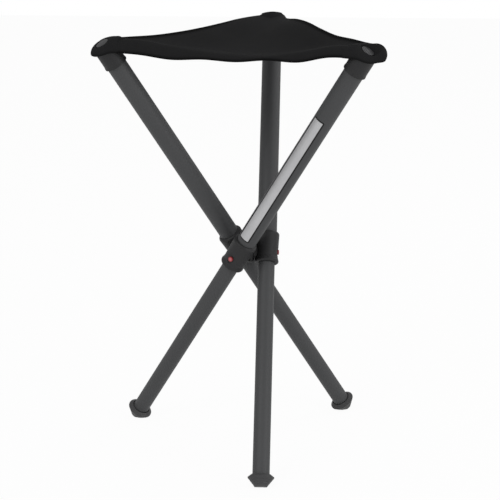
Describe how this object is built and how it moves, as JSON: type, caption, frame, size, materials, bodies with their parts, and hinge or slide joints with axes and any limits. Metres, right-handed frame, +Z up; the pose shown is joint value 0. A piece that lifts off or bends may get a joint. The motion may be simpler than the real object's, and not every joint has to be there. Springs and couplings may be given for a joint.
{
  "type": "folding tripod stool",
  "caption": "Folding tripod stool with telescopic tube legs, push-button locks, a three-way central hub and a cloth sling seat.",
  "frame": {"origin": "on the ground midway between the three feet, under the centre of the hub", "axes": "+Z up; +X along the pivot pin of leg 2, away from the hub; the stool stands open as in the picture, which looks roughly along +Y"},
  "size_m": [0.3421, 0.3671, 0.5371],
  "materials": {
    "tube": "dark grey satin coat",
    "moulding": "fine matte moulding",
    "bush": "smooth",
    "spring_steel": "bright drawn",
    "fastener": "dark satin",
    "button": "satin red",
    "foot_rubber": "matte",
    "seat_cloth": "close black weave",
    "label": "silver film"
  },
  "bodies": {
    "hub": {"hub_core": "moulding", "pivot_pins": "spring_steel"},
    "leg_1": {"sleeve_1": "moulding", "upper_tube_1": "tube", "top_cap_1": "moulding", "seat_screw_1": "fastener", "seat_pocket_1": "seat_cloth", "label": "label"},
    "lower_leg_1": {"lower_tube_1": "tube", "glide_bush_1": "bush", "lock_clip_1": "spring_steel", "foot_1": "foot_rubber"},
    "button_1": {"release_button_1": "button"},
    "seat_1": {"seat_panel_1": "seat_cloth"},
    "leg_2": {"sleeve_2": "moulding", "upper_tube_2": "tube", "top_cap_2": "moulding", "seat_screw_2": "fastener", "seat_pocket_2": "seat_cloth"},
    "lower_leg_2": {"lower_tube_2": "tube", "glide_bush_2": "bush", "lock_clip_2": "spring_steel", "foot_2": "foot_rubber"},
    "button_2": {"release_button_2": "button"},
    "seat_2": {"seat_panel_2": "seat_cloth"},
    "leg_3": {"sleeve_3": "moulding", "upper_tube_3": "tube", "top_cap_3": "moulding", "seat_screw_3": "fastener", "seat_pocket_3": "seat_cloth"},
    "lower_leg_3": {"lower_tube_3": "tube", "glide_bush_3": "bush", "lock_clip_3": "spring_steel", "foot_3": "foot_rubber"},
    "button_3": {"release_button_3": "button"},
    "seat_3": {"seat_panel_3": "seat_cloth"}
  },
  "joints": [
    {"name": "leg_1_fold", "type": "hinge", "parent": "hub", "child": "leg_1", "pos_m": [-0.01225, -0.02122, 0.25225], "axis": [-0.5, -0.866, 0], "range_deg": [0, 33.3]},
    {"name": "leg_2_fold", "type": "hinge", "parent": "hub", "child": "leg_2", "pos_m": [0.0245, 0, 0.25225], "axis": [1, 0, 0], "range_deg": [0, 33.3]},
    {"name": "leg_3_fold", "type": "hinge", "parent": "hub", "child": "leg_3", "pos_m": [-0.01225, 0.02122, 0.25225], "axis": [-0.5, 0.866, 0], "range_deg": [0, 33.3]},
    {"name": "leg_1_slide", "type": "slide", "parent": "leg_1", "child": "lower_leg_1", "axis": [0.4755, -0.2745, 0.8358], "range_m": [0, 0.268], "deforming": ["lock_clip_1"]},
    {"name": "leg_2_slide", "type": "slide", "parent": "leg_2", "child": "lower_leg_2", "axis": [0, 0.549, 0.8358], "range_m": [0, 0.268], "deforming": ["lock_clip_2"]},
    {"name": "leg_3_slide", "type": "slide", "parent": "leg_3", "child": "lower_leg_3", "axis": [-0.4755, -0.2745, 0.8358], "range_m": [0, 0.268], "deforming": ["lock_clip_3"]},
    {"name": "button_1_press", "type": "slide", "parent": "leg_1", "child": "button_1", "axis": [0.5, 0.866, 0], "range_m": [0, 0.0016], "stiffness_N_per_m": 800, "springref_m": -0.001},
    {"name": "button_2_press", "type": "slide", "parent": "leg_2", "child": "button_2", "axis": [-1, 0, 0], "range_m": [0, 0.0016], "stiffness_N_per_m": 800, "springref_m": -0.001},
    {"name": "button_3_press", "type": "slide", "parent": "leg_3", "child": "button_3", "axis": [0.5, -0.866, 0], "range_m": [0, 0.0016], "stiffness_N_per_m": 800, "springref_m": -0.001},
    {"name": "seat_1_fold", "type": "hinge", "parent": "leg_1", "child": "seat_1", "pos_m": [0.12609, -0.09738, 0.52582], "axis": [-0.5, -0.866, 0], "range_deg": [0, 56.8], "deforming": ["seat_panel_1"]},
    {"name": "seat_2_fold", "type": "hinge", "parent": "leg_2", "child": "seat_2", "pos_m": [0.02129, 0.15789, 0.52582], "axis": [1, 0, 0], "range_deg": [0, 56.8], "deforming": ["seat_panel_2"]},
    {"name": "seat_3_fold", "type": "hinge", "parent": "leg_3", "child": "seat_3", "pos_m": [-0.14738, -0.0605, 0.52582], "axis": [-0.5, 0.866, 0], "range_deg": [0, 56.8], "deforming": ["seat_panel_3"]}
  ],
  "couplings": [
    {"joint": "leg_2_fold", "follows": "leg_1_fold", "ratio": 1},
    {"joint": "leg_3_fold", "follows": "leg_1_fold", "ratio": 1},
    {"joint": "seat_1_fold", "follows": "leg_1_fold", "ratio": 1.7027},
    {"joint": "seat_2_fold", "follows": "leg_1_fold", "ratio": 1.7027},
    {"joint": "seat_3_fold", "follows": "leg_1_fold", "ratio": 1.7027}
  ]
}
